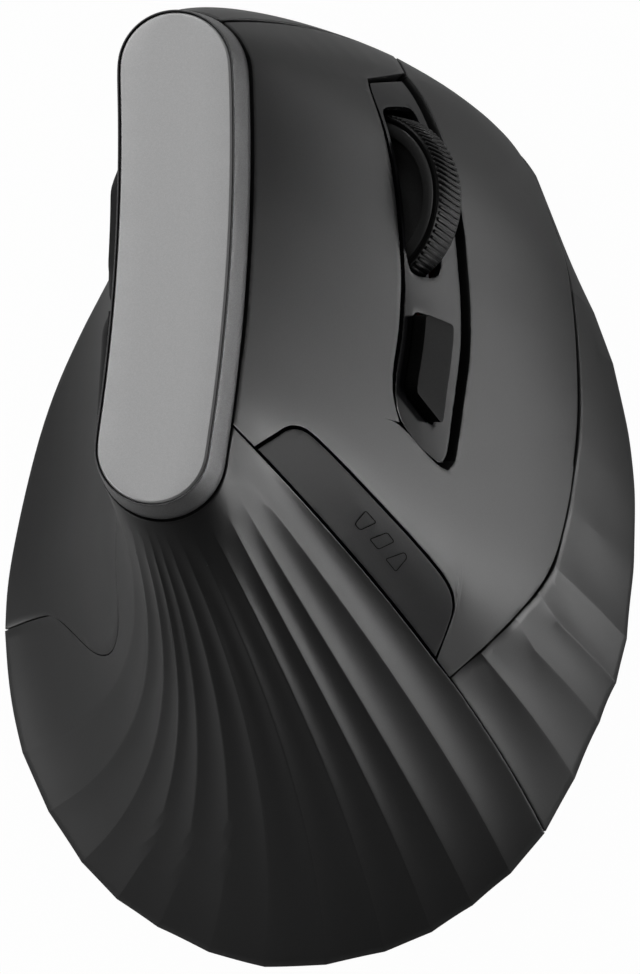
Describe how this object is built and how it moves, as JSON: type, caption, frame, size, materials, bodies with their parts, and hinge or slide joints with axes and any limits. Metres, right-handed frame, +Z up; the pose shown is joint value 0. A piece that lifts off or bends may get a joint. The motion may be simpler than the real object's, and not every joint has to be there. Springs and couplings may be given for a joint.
{
  "type": "vertical mouse",
  "caption": "Right-handed vertical mouse with a tilted button face, scroll wheel, speed key, device key, thumb buttons, raised top plate, fluted palm and a flat base.",
  "frame": {"origin": "on the desk, under the middle of the body", "axes": "+Y to the front of the mouse, +X to its right, +Z up"},
  "size_m": [0.0788, 0.1182, 0.0704],
  "materials": {
    "plate_grey": "satin metallic paint",
    "bezel_grey": "metallic paint",
    "shell_black": "satin",
    "key_black": "satin",
    "speed_key_black": "semi gloss",
    "insert_black": "gloss",
    "tyre_rubber": "fine slanted ribs",
    "hub_black": "gloss",
    "frame_grey": "moulded",
    "base_black": "fine texture",
    "foot_white": "low friction",
    "board_green": "solder mask",
    "switch_red": "moulded",
    "switch_grey": "moulded",
    "encoder_green": "moulded",
    "lens_clear": "clear",
    "chip_black": "moulded",
    "battery_foil": "foil",
    "steel": "plain",
    "slider_grey": "moulded"
  },
  "bodies": {
    "housing": {"top_plate": "plate_grey", "top_bezel": "bezel_grey", "button_bridge": "shell_black", "palm_cover": "shell_black", "side_panel": "shell_black", "thumb_panel": "shell_black", "front_cover": "shell_black", "wheel_insert": "insert_black", "key_carrier": "frame_grey", "device_post": "frame_grey", "side_bracket": "frame_grey", "base_plate": "base_black", "feet": "foot_white", "key_board": "board_green", "device_board": "board_green", "side_board": "board_green", "main_board": "board_green", "left_switch": "switch_red", "right_switch": "switch_red", "wheel_switch": "switch_grey", "speed_switch": "switch_grey", "device_switch": "switch_grey", "forward_switch": "switch_grey", "back_switch": "switch_grey", "power_switch": "switch_grey", "sensor_lens": "lens_clear", "sensor_chip": "chip_black", "battery": "battery_foil", "usb_port": "steel", "base_screws": "steel"},
    "left_button": {"left_button": "shell_black"},
    "right_button": {"right_button": "shell_black"},
    "wheel_frame": {"wheel_yoke": "frame_grey", "wheel_encoder": "encoder_green"},
    "wheel": {"wheel_hub": "hub_black", "wheel_tyre": "tyre_rubber"},
    "speed_key": {"speed_key": "speed_key_black"},
    "device_key": {"device_key": "key_black"},
    "forward_button": {"forward_button": "key_black"},
    "back_button": {"back_button": "key_black"},
    "power_slider": {"power_slider": "slider_grey"}
  },
  "joints": [
    {"name": "left_button_press", "type": "hinge", "parent": "housing", "child": "left_button", "pos_m": [-0.00951, 0.01616, 0.06369], "axis": [-0.6328, 0.2385, 0.7367], "range_deg": [0, 0.5], "stiffness_Nm_per_rad": 1.6, "springref_deg": -0.46},
    {"name": "right_button_press", "type": "hinge", "parent": "housing", "child": "right_button", "pos_m": [0.01561, 0.00311, 0.03356], "axis": [-0.6001, -0.014, 0.7998], "range_deg": [0, 0.5], "stiffness_Nm_per_rad": 1.6, "springref_deg": -0.46},
    {"name": "wheel_click", "type": "slide", "parent": "housing", "child": "wheel_frame", "axis": [-0.8111, -0.1638, -0.5615], "range_m": [0, 0.0005], "stiffness_N_per_m": 1200, "springref_m": -0.0004},
    {"name": "wheel_spin", "type": "hinge", "parent": "wheel_frame", "child": "wheel", "pos_m": [0.0072, 0.03562, 0.03127], "axis": [0.5793, -0.0925, -0.8098], "continuous": true},
    {"name": "speed_key_press", "type": "slide", "parent": "housing", "child": "speed_key", "axis": [-0.8111, -0.1638, -0.5615], "range_m": [0, 0.0006], "stiffness_N_per_m": 1500, "springref_m": -0.0004},
    {"name": "device_key_press", "type": "slide", "parent": "housing", "child": "device_key", "axis": [-0.6581, 0.3329, -0.6753], "range_m": [0, 0.0004], "stiffness_N_per_m": 1500, "springref_m": -0.0003},
    {"name": "forward_button_press", "type": "slide", "parent": "housing", "child": "forward_button", "axis": [0.9744, 0, 0.225], "range_m": [0, 0.0008], "stiffness_N_per_m": 1200, "springref_m": -0.0004},
    {"name": "back_button_press", "type": "slide", "parent": "housing", "child": "back_button", "axis": [0.9744, 0, 0.225], "range_m": [0, 0.0008], "stiffness_N_per_m": 1200, "springref_m": -0.0004},
    {"name": "power_slide", "type": "slide", "parent": "housing", "child": "power_slider", "axis": [0, 1, 0], "range_m": [0, 0.003]}
  ]
}
